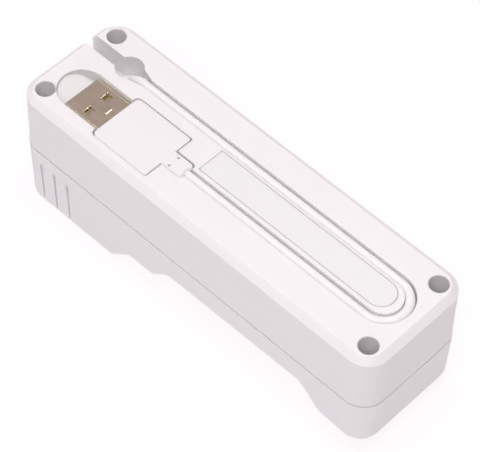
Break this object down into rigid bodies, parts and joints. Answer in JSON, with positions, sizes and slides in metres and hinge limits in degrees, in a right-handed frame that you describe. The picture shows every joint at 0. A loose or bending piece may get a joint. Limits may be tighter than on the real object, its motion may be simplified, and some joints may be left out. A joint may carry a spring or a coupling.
{
  "type": "handheld bag heat sealer",
  "caption": "Palm-sized bag heat sealer with a hinged press arm, inner heated jaw, lock slider and a USB cable stored in a channel on its face.",
  "frame": {"origin": "under the middle of the body, level with the lowest face of the press arm", "axes": "+X from the jaw and grip end to the hinge end, +Y to the lock slider's side, +Z out of the face that stores the cable"},
  "size_m": [0.1186, 0.0352, 0.039],
  "materials": {
    "white_shell": "fine satin moulded ABS",
    "label_white": "smooth satin insert",
    "cable_white": "soft PVC",
    "grommet_rubber": "soft white rubber",
    "inner_plastic": "plain moulded ABS",
    "screw_steel": "nickel-plated",
    "ceramic": "unglazed heat-resistant block",
    "nichrome": "rolled ribbon",
    "ptfe_film": "brown coated glass cloth",
    "brass": "plain",
    "lead_insulation": "silicone insulation",
    "board_green": "solder mask",
    "chip_black": "moulded case",
    "capacitor_can": "plain can",
    "clear_plastic": "clear moulded",
    "battery_foil": "laminate pouch",
    "foam_tape": "closed-cell foam",
    "pin_steel": "ground",
    "plug_steel": "nickel-plated bent sheet",
    "tongue_plastic": "moulded insulator",
    "contact_gold": "gold-flashed",
    "lock_grey": "satin moulded",
    "silicone": "heat-resistant silicone"
  },
  "bodies": {
    "base": {"base_shell": "white_shell", "casing_screws": "screw_steel", "label_plate": "label_white", "usb_cable": "cable_white", "cable_grommet": "grommet_rubber", "jaw_deck": "inner_plastic", "inner_screws": "screw_steel", "heater_block": "ceramic", "heating_strip": "nichrome", "nonstick_film": "ptfe_film", "strip_terminals": "brass", "thermal_cutoff": "screw_steel", "heater_leads": "lead_insulation", "circuit_board": "board_green", "control_chip": "chip_black", "power_transistor": "chip_black", "charge_inductor": "chip_black", "filter_capacitors": "capacitor_can", "charge_led": "clear_plastic", "light_pipe": "clear_plastic", "battery_cell": "battery_foil", "battery_tape": "foam_tape", "battery_leads": "lead_insulation", "switch_body": "chip_black", "switch_leads": "lead_insulation", "cable_clamp": "inner_plastic", "cable_cores": "lead_insulation", "hinge_pin": "pin_steel", "return_spring": "pin_steel"},
    "press_arm": {"arm_shell": "white_shell", "arm_plate": "inner_plastic", "arm_plate_screws": "screw_steel", "pad_carrier": "inner_plastic", "pressure_pad": "silicone"},
    "usb_plug": {"usb_plug_body": "cable_white", "usb_plug_shell": "plug_steel", "usb_plug_tongue": "tongue_plastic", "usb_plug_contacts": "contact_gold"},
    "lock": {"lock_slider": "lock_grey", "lock_hook": "inner_plastic"},
    "plunger": {"switch_plunger": "inner_plastic"}
  },
  "joints": [
    {"name": "arm_hinge", "type": "hinge", "parent": "base", "child": "press_arm", "pos_m": [0.0552, 0, 0.0232], "axis": [0, -1, 0], "range_deg": [0, 5], "deforming": ["return_spring"]},
    {"name": "plug_tip_up", "type": "hinge", "parent": "base", "child": "usb_plug", "pos_m": [-0.01225, -0.0059, 0.03755], "axis": [0, 1, 0], "range_deg": [0, 45]},
    {"name": "lock_slide", "type": "slide", "parent": "base", "child": "lock", "axis": [1, 0, 0], "range_m": [0, 0.004]},
    {"name": "plunger_slide", "type": "slide", "parent": "base", "child": "plunger", "axis": [0, 0, -1], "range_m": [0, 0.001]}
  ],
  "couplings": [
    {"joint": "plunger_slide", "follows": "arm_hinge", "m_per_rad": 0.01145}
  ]
}
